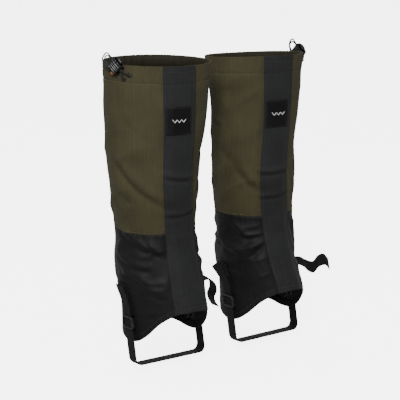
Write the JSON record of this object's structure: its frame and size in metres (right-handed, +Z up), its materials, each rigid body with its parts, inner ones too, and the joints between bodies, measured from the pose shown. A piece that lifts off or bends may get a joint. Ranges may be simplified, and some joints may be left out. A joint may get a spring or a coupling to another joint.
{
  "type": "pair of hiking gaiters",
  "caption": "Knee-high two-tone hiking gaiters with a peel-open front flap, drawcord rim, slider buckles and a strap under the boot.",
  "frame": {"origin": "on the ground under the straps, midway between the two legs", "axes": "+Z up the leg, -Y towards the toes, -X towards the wearer's right"},
  "size_m": [0.4322, 0.1614, 0.4965],
  "materials": {
    "olive_cloth": "woven olive cloth with a coated back",
    "black_cloth": "woven black cloth",
    "flap_cloth": "woven black cloth, a shade lighter",
    "binding_tape": "narrow woven tape",
    "elastic_band": "knitted elastic",
    "hook_and_loop_tape": "hook and loop fastener tape",
    "label_cloth": "finely woven blank patch",
    "webbing": "flat woven webbing",
    "elastic_cord": "braided elastic cord",
    "lock_plastic": "moulded, ribbed",
    "buckle_plastic": "moulded",
    "tag_plastic": "moulded orange tag",
    "spring_steel": "spring wire",
    "hook_steel": "wire with a dark finish",
    "eyelet_metal": "pressed ring, dark finish"
  },
  "bodies": {
    "right_gaiter": {"right_upper_outer_panel": "olive_cloth", "right_upper_inner_panel": "olive_cloth", "right_lower_outer_panel": "black_cloth", "right_lower_inner_panel": "black_cloth", "right_back_seam_tape": "binding_tape", "right_rim_casing": "olive_cloth", "right_ankle_elastic": "elastic_band", "right_hem_binding": "binding_tape", "right_placket": "black_cloth", "right_hook_tape": "hook_and_loop_tape", "right_drawcord": "elastic_cord", "right_eyelet_front": "eyelet_metal", "right_eyelet_back": "eyelet_metal", "right_cord_end_tag": "tag_plastic", "right_outer_webbing_tab": "webbing", "right_inner_webbing_tab": "webbing", "right_outer_buckle": "buckle_plastic", "right_inner_buckle": "buckle_plastic", "right_lace_hook_tab": "webbing"},
    "right_flap": {"right_front_flap": "flap_cloth", "right_loop_tape": "hook_and_loop_tape", "right_label_patch": "label_cloth"},
    "right_cord_lock": {"right_cord_lock_body": "lock_plastic", "right_cord_lock_spring": "spring_steel"},
    "right_lock_button": {"right_cord_lock_button": "lock_plastic"},
    "right_strap": {"right_underfoot_strap": "webbing"},
    "right_lace_hook_body": {"right_lace_hook": "hook_steel"},
    "left_gaiter": {"left_upper_outer_panel": "olive_cloth", "left_upper_inner_panel": "olive_cloth", "left_lower_outer_panel": "black_cloth", "left_lower_inner_panel": "black_cloth", "left_back_seam_tape": "binding_tape", "left_rim_casing": "olive_cloth", "left_ankle_elastic": "elastic_band", "left_hem_binding": "binding_tape", "left_placket": "black_cloth", "left_hook_tape": "hook_and_loop_tape", "left_drawcord": "elastic_cord", "left_eyelet_front": "eyelet_metal", "left_eyelet_back": "eyelet_metal", "left_cord_end_tag": "tag_plastic", "left_outer_webbing_tab": "webbing", "left_inner_webbing_tab": "webbing", "left_outer_buckle": "buckle_plastic", "left_inner_buckle": "buckle_plastic", "left_lace_hook_tab": "webbing"},
    "left_flap": {"left_front_flap": "flap_cloth", "left_loop_tape": "hook_and_loop_tape", "left_label_patch": "label_cloth"},
    "left_cord_lock": {"left_cord_lock_body": "lock_plastic", "left_cord_lock_spring": "spring_steel"},
    "left_lock_button": {"left_cord_lock_button": "lock_plastic"},
    "left_strap": {"left_underfoot_strap": "webbing"},
    "left_lace_hook_body": {"left_lace_hook": "hook_steel"}
  },
  "joints": [
    {"name": "right_flap_peel", "type": "hinge", "parent": "right_gaiter", "child": "right_flap", "pos_m": [-0.12671, -0.08295, 0.1], "axis": [0.0104, -0.0578, -0.9983], "range_deg": [0, 80]},
    {"name": "right_cord_lock_slide", "type": "slide", "parent": "right_gaiter", "child": "right_cord_lock", "axis": [-0.2577, 0.6585, 0.7071], "range_m": [0, 0.006]},
    {"name": "right_lock_button_press", "type": "slide", "parent": "right_cord_lock", "child": "right_lock_button", "axis": [-0.2577, 0.6585, -0.7071], "range_m": [0, 0.003], "stiffness_N_per_m": 400, "deforming": ["right_cord_lock_spring"]},
    {"name": "right_strap_drop", "type": "slide", "parent": "right_gaiter", "child": "right_strap", "axis": [0, -0.1961, -0.9806], "range_m": [0, 0.012]},
    {"name": "right_lace_hook_swing", "type": "hinge", "parent": "right_gaiter", "child": "right_lace_hook_body", "pos_m": [-0.09218, -0.09166, 0.096], "axis": [0.9988, -0.0488, 0], "range_deg": [-15, 35]},
    {"name": "left_flap_peel", "type": "hinge", "parent": "left_gaiter", "child": "left_flap", "pos_m": [0.13493, -0.09139, 0.1], "axis": [-0.0373, 0.0274, 0.9989], "range_deg": [0, 80]},
    {"name": "left_cord_lock_slide", "type": "slide", "parent": "left_gaiter", "child": "left_cord_lock", "axis": [-0.0404, 0.7059, 0.7071], "range_m": [0, 0.006]},
    {"name": "left_lock_button_press", "type": "slide", "parent": "left_cord_lock", "child": "left_lock_button", "axis": [-0.0404, 0.7059, -0.7071], "range_m": [0, 0.003], "stiffness_N_per_m": 400, "deforming": ["left_cord_lock_spring"]},
    {"name": "left_strap_drop", "type": "slide", "parent": "left_gaiter", "child": "left_strap", "axis": [0, -0.1961, -0.9806], "range_m": [0, 0.012]},
    {"name": "left_lace_hook_swing", "type": "hinge", "parent": "left_gaiter", "child": "left_lace_hook_body", "pos_m": [0.11036, -0.0917, 0.096], "axis": [1, -0.0038, 0], "range_deg": [-15, 35]},
    {"name": "pair_spacing", "type": "slide", "parent": "right_gaiter", "child": "left_gaiter", "axis": [1, 0, 0], "range_m": [-0.01, 0.06]}
  ]
}
